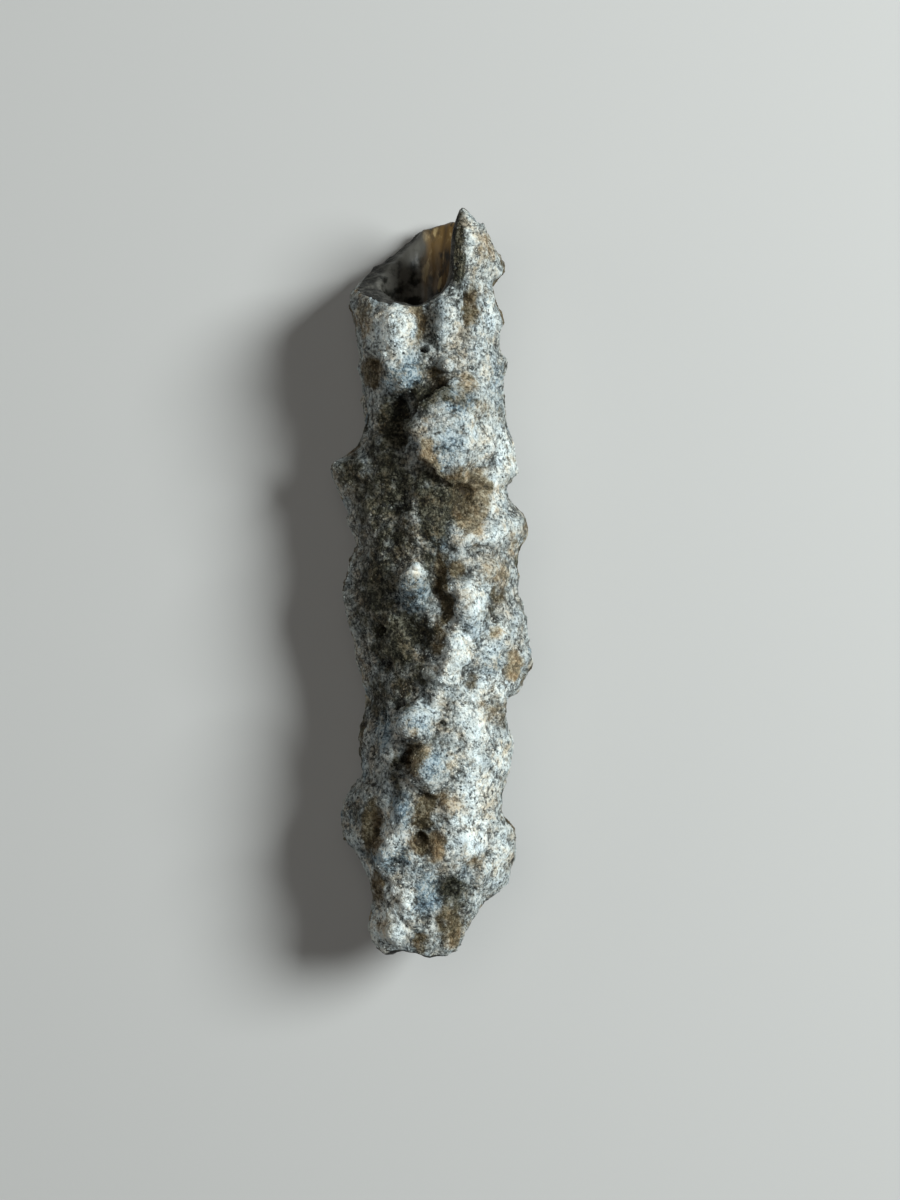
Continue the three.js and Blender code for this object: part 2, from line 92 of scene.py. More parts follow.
# Colour zones on the top of the crust: (x, y, half width, half length, strength).
# Lengths are in mm, and places are counted from the middle of the tube.
ZONES = {
    # Pale quartz, and painted light on ridges and slopes that face the light.
    "pale": (
        (5.0, 15.2, 2.4, 3.2, 0.45),
        (1.2, 14.8, 2.0, 1.6, 0.4),
        (2.2, 11.8, 1.4, 1.6, 0.3),
        (7.6, 13.2, 1.4, 2.6, 0.8),
        (5.0, 21.6, 1.2, 3.6, 0.4),
        (5.6, 26.0, 1.4, 2.6, 0.5),
        (-3.8, 24.3, 1.9, 2.6, 1.45),
        (-5.3, 24.6, 1.2, 2.4, 1.0),
        (-4.6, 26.2, 1.3, 1.2, 0.7),
        (1.6, 25.4, 1.0, 2.6, 0.6),
        (3.9, 33.6, 0.8, 2.8, 0.5),
        (5.4, 31.6, 1.6, 2.2, 0.35),
        (6.6, 8.6, 1.0, 3.0, 0.6),
        (4.8, 4.7, 3.6, 0.9, 0.8),
        (8.6, 5.6, 1.1, 2.0, 0.5),
        (2.1, -0.5, 1.0, 0.6, 0.9),
        (4.4, -1.8, 1.3, 2.2, 0.7),
        (3.0, -6.2, 1.2, 2.0, 0.8),
        (1.4, -8.8, 1.6, 1.6, 0.7),
        (1.4, -6.2, 0.9, 1.2, 0.7),
        (1.0, -10.4, 1.3, 1.1, 0.6),
        (6.2, -10.2, 1.9, 1.3, 0.8),
        (3.2, -17.0, 1.6, 2.8, 1.2),
        (7.0, -17.2, 1.1, 2.2, 0.7),
        (6.2, -5.4, 1.9, 2.6, 0.5),
        (4.2, -13.6, 2.2, 3.2, 0.8),
        (4.6, -20.6, 1.9, 2.6, 0.8),
        (3.4, -24.6, 2.8, 2.8, 0.9),
        (6.8, -27.6, 1.6, 3.6, 0.6),
        (-1.9, -14.6, 1.5, 0.8, 0.5),
        (-0.6, -12.4, 1.3, 1.2, 0.5),
        (0.2, -19.6, 1.0, 1.2, 0.3),
        (-4.0, -24.6, 1.0, 2.4, 0.6),
        (-8.0, -25.4, 0.9, 1.8, 0.5),
        (-1.5, 1.4, 0.6, 0.5, 1.0),
        (-5.6, -28.3, 1.8, 0.5, 0.7),
        (-4.8, -23.8, 0.8, 2.2, 1.0),
        (-2.9, -30.8, 1.2, 3.0, 1.1),
        (-3.4, -28.4, 1.4, 1.0, 0.6),
        (-4.4, -34.6, 1.9, 2.6, 1.2),
        (4.6, 29.4, 1.6, 0.8, 0.3),
        (5.6, -31.4, 2.2, 1.4, 0.4),
    ),
    "blue": (
        (-2.8, 20.4, 2.0, 1.9, 1.0),
        (0.9, 25.8, 0.9, 3.0, 0.4),
        (-2.2, 23.8, 1.0, 2.2, 0.7),
        (-5.0, 28.0, 1.4, 1.2, 0.5),
        (1.4, 13.2, 1.4, 2.2, 0.8),
        (2.2, 11.0, 1.0, 1.4, 0.6),
        (-1.8, -1.0, 1.5, 2.2, 1.1),
        (0.4, 4.4, 1.2, 1.6, 0.8),
        (2.6, 17.8, 2.0, 1.6, 0.9),
        (2.6, 14.6, 1.4, 2.2, 0.6),
        (6.8, 19.6, 1.6, 3.0, 0.5),
        (5.0, 26.6, 1.2, 2.0, 0.5),
        (4.2, -4.0, 1.4, 3.6, 0.5),
        (6.0, -7.4, 1.4, 2.2, 0.5),
        (-1.7, -13.6, 1.7, 2.0, 0.7),
        (0.2, -17.8, 1.4, 1.8, 0.7),
        (-4.8, -14.2, 0.7, 2.4, 0.9),
        (-7.0, -18.8, 0.9, 0.9, 0.7),
        (-4.4, -27.0, 2.6, 1.6, 0.8),
        (-3.2, -22.6, 1.2, 2.4, 0.7),
        (-0.6, -30.4, 2.0, 2.2, 0.8),
        (-2.0, -35.0, 1.2, 1.6, 0.4),
        (-8.0, -23.0, 0.8, 2.6, 0.5),
        (-5.2, 1.8, 1.2, 1.2, 0.4),
        (-5.0, -7.4, 1.0, 1.2, 0.6),
        (5.6, 32.6, 1.2, 1.6, 0.4),
        (3.8, -28.8, 1.4, 1.6, 0.4),
        (5.0, -18.6, 1.6, 2.4, 0.35),
    ),
    "tan": (
        (4.4, 9.2, 1.5, 2.2, 1.0),
        (3.6, 6.4, 1.6, 2.0, 1.0),
        (-0.6, 12.6, 0.7, 1.6, 1.0),
        (0.5, 11.0, 0.6, 1.2, 1.0),
        (3.4, 19.3, 1.2, 1.2, 0.6),
        (5.0, 17.0, 1.6, 1.0, 0.4),
        (0.4, -25.9, 0.8, 1.6, 1.0),
        (8.0, -8.2, 1.0, 1.3, 1.0),
        (6.1, -4.8, 0.7, 0.8, 0.7),
        (6.2, 1.2, 1.6, 1.4, 0.5),
        (-0.8, -16.4, 0.8, 1.0, 0.7),
        (1.8, -21.6, 1.4, 1.4, 0.5),
        (4.4, -27.6, 1.0, 1.2, 0.5),
        (2.0, -34.4, 0.8, 1.8, 0.7),
        (-4.6, -34.0, 1.0, 1.4, 0.5),
        (5.8, -12.6, 1.4, 1.4, 0.5),
        (8.6, 4.0, 1.2, 1.4, 0.5),
        (-7.8, 9.4, 1.6, 2.6, 0.5),
        (-6.8, 26.4, 0.9, 2.6, 0.5),
        (5.4, 33.0, 0.9, 2.2, 0.5),
        (-1.6, 27.0, 0.6, 1.4, 0.6),
    ),
    # Iron stain, and painted shade on the shaded sides of hollows and under knobs.
    "brown": (
        (2.2, 8.9, 1.4, 2.4, 1.0),
        (3.4, 8.4, 1.3, 2.0, 0.75),
        (4.4, 10.0, 1.2, 0.8, 0.6),
        (-0.9, -22.5, 1.1, 2.2, 1.0),
        (1.4, -33.2, 1.1, 2.2, 0.8),
        (-1.1, -25.4, 0.9, 1.3, 1.0),
        (-6.0, -24.2, 1.1, 2.8, 1.0),
        (3.8, 27.4, 0.8, 2.4, 0.9),
        (-6.0, 20.8, 1.1, 1.8, 1.0),
        (0.9, 0.8, 0.8, 2.2, 1.0),
        (2.6, 1.4, 1.0, 0.9, 0.9),
        (1.4, -2.6, 0.8, 1.8, 1.0),
        (0.6, -5.4, 0.9, 1.8, 0.8),
        (-1.8, -17.2, 0.9, 2.0, 0.9),
        (-0.2, -21.6, 0.8, 0.9, 0.8),
        (2.1, -33.2, 0.9, 2.6, 0.8),
        (-1.2, -35.6, 1.0, 1.2, 0.8),
        (0.4, 19.6, 1.2, 1.6, 0.8),
        (-1.2, 25.6, 0.5, 2.2, 0.8),
        (6.6, -1.4, 0.9, 1.6, 0.6),
        (3.8, -9.7, 0.8, 0.9, 0.6),
        (-5.4, -29.8, 0.7, 2.0, 0.8),
        (-4.8, 12.0, 1.6, 2.4, 0.4),
        (-6.6, 5.4, 1.6, 2.4, 0.4),
    ),
    # Dark glass, and painted shade on the left-facing side of the top, in the hollow left of the big raised
    # plate and on the broken wall by the mouth.
    "dark": (
        (-3.6, 15.8, 2.0, 2.8, 1.0),
        (-5.0, 13.0, 1.8, 2.6, 0.6),
        (1.0, 18.4, 1.4, 1.2, 0.7),
        (3.4, 18.0, 1.3, 1.2, 0.45),
        (0.2, 7.0, 2.0, 4.0, 0.9),
        (-0.5, -0.4, 0.7, 2.0, 0.5),
        (-2.0, -1.2, 1.0, 1.8, 0.35),
        (9.0, 6.4, 0.8, 1.2, 0.5),
        (-1.0, 18.2, 1.2, 2.0, 0.8),
        (-0.8, 21.6, 0.8, 1.2, 0.4),
        (-2.9, -5.2, 1.8, 3.0, 1.0),
        (-3.0, -10.2, 1.3, 1.4, 0.7),
        (7.4, -13.2, 1.2, 1.6, 0.45),
        (7.4, 17.4, 1.0, 2.4, 0.3),
        (7.6, 22.0, 1.0, 2.4, 0.3),
        (-0.4, 2.6, 1.0, 1.6, 0.7),
        (-5.6, 8.4, 2.4, 3.2, 0.75),
        (-8.6, 11.4, 2.0, 1.8, 0.75),
        (-3.9, 9.4, 2.6, 4.0, 0.85),
        (-0.9, 9.6, 1.2, 2.0, 0.9),
        (-3.8, 3.8, 2.4, 2.8, 0.75),
        (-8.6, 10.6, 1.4, 1.6, 0.4),
        (-5.4, -0.8, 2.2, 4.0, 0.9),
        (-3.8, -5.6, 2.6, 3.4, 0.9),
        (-1.2, -5.0, 1.6, 2.2, 0.8),
        (-1.4, -9.0, 1.8, 2.0, 0.6),
        (-5.4, -11.4, 1.8, 2.4, 0.7),
        (-3.4, -18.8, 0.8, 2.2, 0.7),
        (-2.8, -11.6, 1.0, 1.4, 0.6),
        (2.1, -30.2, 1.6, 1.8, 0.8),
        (-7.6, -22.6, 0.8, 1.6, 0.5),
        (2.6, 32.8, 0.8, 3.8, 1.0),
        (5.8, -2.8, 0.8, 1.2, 0.4),
        (-7.2, -2.0, 1.4, 5.0, 0.5),
    ),
}
# How often each zone turns up where none is laid: on the sides and the underside.
ZONE_SHARE = {"pale": 0.10, "blue": 0.08, "tan": 0.05, "brown": 0.05, "dark": 0.10}
CLEAN_QUARTZ = Vector((0.75, 0.77, 0.74))
STAINED_QUARTZ = Vector((0.70, 0.64, 0.50))
# What shows in each zone, from the lowest layer up: its quartz, how far the palest specks reach towards it,
# and how soft the speckle is.
SAND_TONES = (
    ("blue", CLEAN_QUARTZ, 0.32, 0.0),
    ("pale", CLEAN_QUARTZ, 0.6, 0.0),
    ("tan", STAINED_QUARTZ, 0.25, 0.7),
    ("brown", STAINED_QUARTZ, 0.13, 0.6),
    ("dark", STAINED_QUARTZ, 0.11, 0.0),
)
# Small pits (below 0) and bumps (above 0) on the top: (x, y, radius, height), in mm.
TOP_DETAILS = (
    (-0.8, 22.9, 0.55, -1.3),
    (-5.0, -4.6, 0.55, -1.2),
    (-5.3, -5.1, 0.45, -1.0),
    (-4.6, -8.0, 0.5, -0.7),
    (1.0, -13.8, 0.4, -0.9),
    (5.8, -26.9, 0.5, -0.6),
    (6.1, -3.5, 0.6, -0.5),
    (3.9, 16.0, 0.55, 0.35),
    (4.4, 14.7, 0.4, 0.3),
    (1.4, 21.3, 0.7, 0.7),
    (-4.8, -6.8, 0.7, 0.4),
    (1.6, -0.5, 0.7, 0.6),
    (-1.5, 1.4, 0.6, 0.4),
    (4.6, 35.0, 0.8, 0.4),
    (-9.4, 11.4, 0.9, 0.3),
    (-1.3, 12.6, 1.1, -0.5),
    (-1.2, -25.2, 0.9, -0.7),
    (-3.2, -12.0, 0.9, -0.5),
    (-2.4, -17.2, 0.8, -0.6),
    (-3.4, 17.2, 1.6, -0.7),
)

# Raised plates on the top: corners in mm, anticlockwise, and the rise at their left and right ends. Their
# edges are broken off sharply on the left and at the lower side, and fade out towards the upper right.
PLATES = (
    (((-1.9, 15.6), (-0.4, 12.2), (1.6, 9.7), (4.6, 11.4), (7.0, 13.2), (6.6, 17.5), (2.6, 20.0)), 1.7, -0.1),
    (((-6.0, 26.2), (-5.0, 22.6), (-1.3, 21.9), (-1.6, 26.0), (-3.6, 27.2)), 0.4, 0.5),
    (((-4.9, 20.2), (-3.3, 18.2), (-0.9, 20.0), (-0.8, 22.4), (-4.4, 23.0)), 0.9, 0.3),
    (((0.3, 26.8), (0.4, 23.6), (1.2, 22.6), (2.4, 24.0), (2.6, 27.0)), 0.4, 0.1),
    (((1.2, 3.9), (4.0, 3.3), (8.6, 4.4), (9.2, 6.4), (6.6, 6.6), (4.2, 5.2)), 0.4, 0.3),
    (((2.4, -0.4), (2.4, -4.2), (4.6, -5.8), (6.0, -2.0), (4.6, 0.8)), 0.7, 0.1),
    (((1.9, -4.6), (0.2, -9.4), (2.2, -9.8), (4.0, -7.0), (4.4, -4.8)), 0.7, 0.1),
    (((-3.3, 1.2), (-3.2, -1.2), (-2.2, -2.6), (-0.4, -2.2), (-0.7, 1.6)), 0.5, 0.4),
    (((-2.6, -12.2), (-3.2, -14.4), (-1.2, -15.6), (0.6, -14.8), (0.4, -12.0)), 0.8, 0.4),
    (((-1.6, -16.6), (-1.5, -19.6), (-0.2, -21.1), (1.6, -20.6), (1.7, -17.0)), 0.7, 0.3),
    (((-4.8, -26.8), (-5.4, -28.6), (-2.4, -25.4), (-2.0, -22.6), (-3.2, -22.8)), 0.5, 0.3),
    (((-4.5, -30.0), (-4.2, -33.0), (-2.6, -33.2), (-2.0, -30.4), (-2.8, -29.4)), 0.4, 0.4),
)
SHARP_EDGE = 0.28  # mm, half the width of a plate's sharp edge
SOFT_EDGE = 1.3  # mm, half the width of an edge that fades out


def plate_height(x, y):
    """What the raised plates add at a place on the top, in mm."""
    height = 0.0
    for corners, rise_left, rise_right in PLATES:
        outside = -1e9
        for (ax, ay), (bx, by) in zip(corners, corners[1:] + corners[:1]):
            length = math.hypot(bx - ax, by - ay)
            outward_x, outward_y = (by - ay) / length, (ax - bx) / length
            width = SHARP_EDGE + (SOFT_EDGE - SHARP_EDGE) * max(0.0, 0.7 * (outward_x + outward_y))
            outside = max(outside, (outward_x * (x - ax) + outward_y * (y - ay)) / width)
        if outside < 1.0:
            left = min(corner[0] for corner in corners)
            right = max(corner[0] for corner in corners)
            rise = rise_left + (rise_right - rise_left) * (x - left) / (right - left)
            height = max(height, rise * smoothstep(1.0, -1.0, outside))
    return height


def smoothstep(low, high, value):
    """0 below low, 1 above high, eased between them. low may be the larger."""
    share = min(max((value - low) / (high - low), 0.0), 1.0)
    return share * share * (3.0 - 2.0 * share)


def spots(places, x, y):
    """The strongest of the listed spots at a place on the top."""
    best = 0.0
    for spot_x, spot_y, wide, long, strength in places:
        away = math.hypot((x - spot_x) / wide, (y - spot_y) / long)
        if away < 1.5:
            best = max(best, strength * smoothstep(1.5, 0.4, away))
    return best


class Value:
    """A number that comes out of a shader socket. Arithmetic on it adds the Math nodes."""

    def __init__(self, kit, socket):
        self.kit = kit
        self.socket = socket

    def _math(self, operation, first, second):
        node = self.kit.add("ShaderNodeMath", {"operation": operation}, {0: first, 1: second})
        return Value(self.kit, node.outputs[0])

    def __add__(self, other):
        return self._math("ADD", self, other)

    def __radd__(self, other):
        return self._math("ADD", other, self)

    def __sub__(self, other):
        return self._math("SUBTRACT", self, other)

    def __rsub__(self, other):
        return self._math("SUBTRACT", other, self)

    def __mul__(self, other):
        return self._math("MULTIPLY", self, other)

    def __rmul__(self, other):
        return self._math("MULTIPLY", other, self)

    def between(self, low, high):
        """0 at low and below, 1 at high and above, eased between them."""
        node = self.kit.add(
            "ShaderNodeMapRange",
            {"interpolation_type": "SMOOTHSTEP"},
            {"Value": self, "From Min": low, "From Max": high, "To Min": 0.0, "To Max": 1.0},
        )
        return Value(self.kit, node.outputs["Result"])


class NodeKit:
    """Adds the nodes of one material."""

    def __init__(self, material):
        material.use_nodes = True
        self.tree = material.node_tree
        self.tree.nodes.clear()

    def add(self, kind, settings=None, sockets=None):
        """A node of that type. Its settings are set first, then the values or links of its sockets."""
        node = self.tree.nodes.new(kind)
        for name, value in (settings or {}).items():
            if name == "stops":
                self._set_stops(node.color_ramp, value)
            else:
                setattr(node, name, value)
        for name, value in (sockets or {}).items():
            source = value.socket if isinstance(value, Value) else value
            if isinstance(source, bpy.types.NodeSocket):
                self.tree.links.new(source, node.inputs[name])
            else:
                node.inputs[name].default_value = source
        return node

    @staticmethod
    def _set_stops(ramp, stops):
        while len(ramp.elements) < len(stops):
            ramp.elements.new(0.5)
        for element, (position, colour) in zip(ramp.elements, stops):
            element.position = position
            element.color = (*colour, 1.0)

    def attribute(self, name):
        node = self.add("ShaderNodeAttribute", {"attribute_name": name})
        return Value(self, node.outputs["Fac"])

    def millimetres(self, stretch=(1.0, 1.0, 1.0)):
        """Object coordinates in millimetres. A stretch above 1 packs a pattern closer along that axis."""
        place = self.add("ShaderNodeTexCoord").outputs["Object"]
        scale = tuple(each / MM for each in stretch)
        node = self.add("ShaderNodeVectorMath", {"operation": "MULTIPLY"}, {0: place, 1: scale})
        return node.outputs["Vector"]

    def noise(self, place, size, detail=3.0, roughness=0.55):
        sockets = {"Vector": place, "Scale": 1.0 / size, "Detail": detail, "Roughness": roughness}
        return Value(self, self.add("ShaderNodeTexNoise", None, sockets).outputs["Fac"])

    def cells(self, place, size):
        return self.add("ShaderNodeTexVoronoi", None, {"Vector": place, "Scale": 1.0 / size})

    def cell_number(self, cells, channel):
        """A random number for each cell. The three channels give three of them."""
        split = self.add("ShaderNodeSeparateColor", None, {"Color": cells.outputs["Color"]})
        return Value(self, split.outputs[channel])

    def ramp(self, value, stops):
        return self.add("ShaderNodeValToRGB", {"stops": stops}, {"Fac": value}).outputs["Color"]

    def blend(self, factor, first, second, mode="MIX"):
        """first where the factor is 0, and second (or second laid over it in that mode) where it is 1."""
        settings = {"data_type": "RGBA", "blend_type": mode}
        return self.add("ShaderNodeMix", settings, {0: factor, 6: first, 7: second}).outputs[2]

    def finish(self, sockets):
        shader = self.add("ShaderNodeBsdfPrincipled", None, sockets)
        self.add("ShaderNodeOutputMaterial", None, {"Surface": shader.outputs["BSDF"]})


def colour_property(name, description, default):
    return FloatVectorProperty(
        name=name, description=description, subtype="COLOR", size=3, min=0, max=1, default=default,
    )


def length_property(name, description, millimetres):
    return FloatProperty(
        name=name, description=description, subtype="DISTANCE", unit="LENGTH", default=millimetres * MM,
    )


class FulguriteCrust(bpy.types.PropertyGroup):
    """The rough outside of the tube."""

    passes: IntProperty(
        name="Passes", description="Times that each triangle is divided in four", default=2, min=0, max=2,
    )
    lump_size: length_property("Lump size", "Distance between the low lumps of the crust", 2.2)
    lump_height: length_property("Lump height", "Height of those lumps", 0.30)
    crag_size: length_property("Crag size", "Distance between the sharp little ridges", 1.25)
    crag_height: length_property("Crag height", "Height of the little ridges", 0.17)
    grit_size: length_property("Grit size", "Size of the half-melted grains", 0.5)
    grit_height: length_property("Grit height", "How far the half-melted grains stand out", 0.07)
    pit_spacing: length_property("Pit spacing", "Distance between burst bubbles", 2.3)
    pit_depth: length_property("Pit depth", "Depth of a burst bubble", 0.3)
    grey: colour_property("Grey sand", "Most of the half-melted sand", (0.200, 0.212, 0.205))
    # On the top the pale zone also holds painted light, where the light falls.
    pale: colour_property("Pale sand", "Quartz that hardly melted", (0.50, 0.535, 0.525))
    blue: colour_property("Blue-grey glass", "Cool glass on the lobes", (0.140, 0.192, 0.226))
    tan: colour_property("Tan stain", "Iron-stained sand", (0.215, 0.170, 0.108))
    # On the top the brown and dark zones also hold painted shade, where shade falls.
    brown: colour_property("Brown stain", "Iron stain in the hollows", (0.072, 0.054, 0.028))
    dark: colour_property("Dark glass", "Glassy sand in the deep hollows", (0.028, 0.027, 0.016))


class FulguriteLining(bpy.types.PropertyGroup):
    """The smooth inside of the tube."""

    amber: colour_property("Amber glass", "Iron-rich part of the lining", (0.135, 0.082, 0.030))
    smoky: colour_property("Smoky glass", "Grey part of the lining", (0.125, 0.122, 0.108))
    honey: colour_property("Honey glass", "Pale runs of the lining", (0.30, 0.225, 0.115))
    black: colour_property("Black glass", "Thick glass of the lining", (0.012, 0.012, 0.010))
    streak_height: length_property("Streak height", "How far the frozen runs of glass stand out", 0.14)
    roughness: FloatProperty(
        name="Roughness", description="Roughness of the glass", default=0.42, min=0, max=1,
    )


class FulguriteGrains(bpy.types.PropertyGroup):
    """The sand grains that are stuck to the crust."""

    count: IntProperty(name="Count", description="Grains of each kind", default=9600, min=0, max=9900)
    radius: length_property("Radius", "Usual radius of a grain", 0.13)
    seed: IntProperty(name="Seed", description="Start of the random draws", default=11)


class FulguriteStage(bpy.types.PropertyGroup):
    """The floor, the lights and the camera."""

    floor: colour_property("Floor", "Colour of the floor", (0.50, 0.50, 0.495))
    frame_height: length_property("Frame height", "Height of the picture at the tube's middle line", 120.0)
    key_power: FloatProperty(name="Key power", description="Power of the light from the right", default=4.4)
    fill_power: FloatProperty(name="Fill power", description="Power of the light from above", default=0.75)
    low_power: FloatProperty(
        name="Low power", description="Power of the low light from the left", default=0.26,
    )
    sky: FloatProperty(name="Sky", description="Strength of the light from all round", default=0.035)


def finish_piece(mesh, name, material):
    """Shows a mesh as a piece of the fulgurite, at the origin, riding with it."""
    piece = bpy.data.objects.new(name, mesh)
    bpy.context.scene.collection.objects.link(piece)
    mesh.materials.clear()
    mesh.materials.append(material)
    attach(piece, BODY)
    return piece


def bore_share(place, normal):
    """1 on the bore's wall and 0 on the crust, from a place in mm and the way that it faces."""
    outward = Vector((place.x, 0.0, place.z - AXIS_HEIGHT))
    if outward.length < 0.01:
        return 1.0
    facing = outward.normalized().dot(normal)
    return smoothstep(0.15, -0.35, facing) * smoothstep(BORE_LIMIT + 0.4, BORE_LIMIT - 0.4, outward.length)


def break_share(place, normal):
    """1 on the broken wall between the crust and the bore at either end."""
    outward = Vector((place.x, 0.0, place.z - AXIS_HEIGHT)).normalized()
    at_mouth = smoothstep(MOUTH_BREAK - 0.5, MOUTH_BREAK + 0.5, place.y)
    at_tail = smoothstep(TAIL_BREAK + 0.5, TAIL_BREAK - 0.5, place.y)
    return max(at_mouth, at_tail) * smoothstep(0.62, 0.36, abs(outward.dot(normal)))


def crust_height(place, crust):
    """How far the crust stands out at a place, both in mm. Some patches are craggier than others."""
    lumps = noise.fractal(place * MM / crust.lump_size, 0.8, 2.1, 3)
    crags = 0.5 - 2.0 * abs(noise.noise(place * MM / crust.crag_size + CRAG_SHIFT))
    grit = noise.noise(place * MM / crust.grit_size + GRIT_SHIFT)
    craggy = smoothstep(-0.45, 0.35, noise.noise(place * 0.21 + ROUGH_PATCH_SHIFT))
    height = crust.lump_height * lumps
    height += crust.crag_height * crags * (0.55 + 0.9 * craggy)
    height += crust.grit_height * grit
    distances, points = noise.voronoi(place * MM / crust.pit_spacing)
    if noise.cell(points[0] * 3.7) > 0.7:
        height -= crust.pit_depth * smoothstep(0.30, 0.12, distances[0])
    return height / MM


def detail_height(place):
    """What the plates and the listed pits and bumps add on the top, in mm."""
    wander = Vector((noise.noise(place * 1.1), noise.noise(place * 1.1 + Vector((4, 4, 4))), 0.0)) * 0.8
    height = plate_height(place.x + wander.x, place.y + wander.y)
    for x, y, radius, rise in TOP_DETAILS:
        away = math.hypot(place.x - x, place.y - y) / radius
        if away < 1.0:
            height += rise * smoothstep(1.0, 0.25, away)
    return height


def ease_crown(height):
    """Eases down a height, in metres, near or above the solid's highest point, to keep the tube's size."""
    crown = CAD_BOX[1].z - CROWN_DEPTH * MM
    above = max(0.0, height - crown)
    return min(height, crown) + above / (1.0 + CROWN_EASE * above / MM)


def settle(shape, factor):
    """Moves every vertex part of the way to the middle of its neighbours."""
    bmesh.ops.smooth_vert(
        shape, verts=shape.verts, factor=factor, use_axis_x=True, use_axis_y=True, use_axis_z=True,
    )


def make_crust_mesh(settings):
    """The fine mesh of the whole tube, grown from a merged copy of the solid's mesh."""
    crust, lining = settings.fulgurite_crust, settings.fulgurite_lining
    shape = bmesh.new()
    shape.from_mesh(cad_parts[NODE].data)
    bmesh.ops.remove_doubles(shape, verts=shape.verts, dist=0.002 * MM)
    for _ in range(crust.passes):
        bmesh.ops.subdivide_edges(shape, edges=shape.edges, cuts=1, smooth=0.6, use_grid_fill=True)
        settle(shape, 0.5)
    shape.normal_update()
    lining_layer = shape.verts.layers.float.new("lining")
    break_layer = shape.verts.layers.float.new("break")
    moves = []
    for vert in shape.verts:
        place, normal = vert.co / MM, vert.normal.copy()
        inside, broken = bore_share(place, normal), break_share(place, normal)
        height = (1.0 - inside) * (1.0 - 0.75 * broken) * crust_height(place, crust)
        if inside > 0.0:
            runs = noise.fractal(Vector((place.x, place.y * 0.12, place.z)) * 0.8, 0.8, 2.0, 3)
            height += inside * lining.streak_height / MM * runs
        if place.z > AXIS_HEIGHT and normal.z > 0.0:
            height += (1.0 - inside) * detail_height(place)
        vert[lining_layer] = inside
        vert[break_layer] = broken
        moves.append(normal * height * MM)
    for vert, move in zip(shape.verts, moves):
        vert.co += move
        vert.co.z = ease_crown(max(vert.co.z, 0.0))
    shape.normal_update()
    paint_zones(shape)
    mesh = bpy.data.meshes.new("fulgurite_crust")
    shape.to_mesh(mesh)
    shape.free()
    mesh.shade_smooth()
    return mesh


def paint_zones(shape):
    """Stores on each vertex how far it stands above its surroundings, and its share of each colour zone,
    whose spots on the top hold painted light and shade.
    """
    soft = shape.copy()
    for _ in range(SETTLING_PASSES):
        settle(soft, 0.6)
    layers = {name: shape.verts.layers.float.new(name) for name in ("relief", *ZONES)}
    for vert, settled in zip(shape.verts, soft.verts):
        place = vert.co / MM
        relief = (vert.co - settled.co).dot(vert.normal) / MM / FULL_RELIEF
        vert[layers["relief"]] = 0.5 + 0.5 * max(-1.0, min(1.0, relief))
        top = smoothstep(0.0, 2.5, place.z - AXIS_HEIGHT)
        wander = Vector((noise.noise(place * 0.7), noise.noise(place * 0.7 + Vector((5, 5, 5))), 0)) * 0.6
        for step, (name, places) in enumerate(ZONES.items()):
            patch = noise.fractal(place * 0.22 + Vector((3.1, 0.4 + 6.0 * step, 8.8)), 0.7, 2.2, 4)
            share = ZONE_SHARE[name]
            elsewhere = (1.0 - top) * smoothstep(0.34 - share * 2.0, 0.75 - share, patch)
            vert[layers[name]] = max(top * spots(places, place.x + wander.x, place.y + wander.y), elsewhere)
    soft.free()


def sand_colour(kit, crust, speckle, ragged):
    """The sand's colour from its zone attributes and its speckle. ragged is a noise that frays the zones."""
    colour = kit.ramp(speckle, tones(crust.grey, CLEAN_QUARTZ, 0.4))
    for name, quartz, quartz_share, softness in SAND_TONES:
        share = (kit.attribute(name) * 1.25 + (ragged - 0.5) * 2.0).between(0.0, 1.05)
        stops = tones(getattr(crust, name), quartz, quartz_share, softness)
        colour = kit.blend(share, colour, kit.ramp(speckle, stops))
    return colour


def tint_by_drift(kit, colour, place, grain_hue):
    """Warms and cools the colour in patches, and from grain to grain."""
    drift = kit.noise(place, 1.9, 3.0, 0.55) * 0.86 + grain_hue * 0.14
    tint = kit.ramp(drift, [
        (0.30, (0.84, 0.69, 0.53)),
        (0.39, (1.00, 0.92, 0.82)),
        (0.46, (1.00, 0.99, 0.97)),
        (0.55, (0.95, 1.00, 1.02)),
        (0.68, (0.87, 0.96, 1.05)),
    ])
    return kit.blend(0.85, colour, tint, "MULTIPLY")


def tones(tint, quartz, quartz_share, softness=0.0):
    """The stops of one colour zone, from its dark glassy specks to its quartz. Softness evens them out."""
    tint = Vector(tint)
    return [
        (0.08, tint * (0.14 + 0.5 * softness)),
        (0.36, tint * (0.58 + 0.25 * softness)),
        (0.60, tint * 1.15),
        (0.90, (tint * 1.35).lerp(quartz, quartz_share)),
    ]


GRAIN_CELL = 0.42  # mm, size of the grains that are drawn on the crust
FINE_CELL = 0.21  # mm, size of the fine ones between them


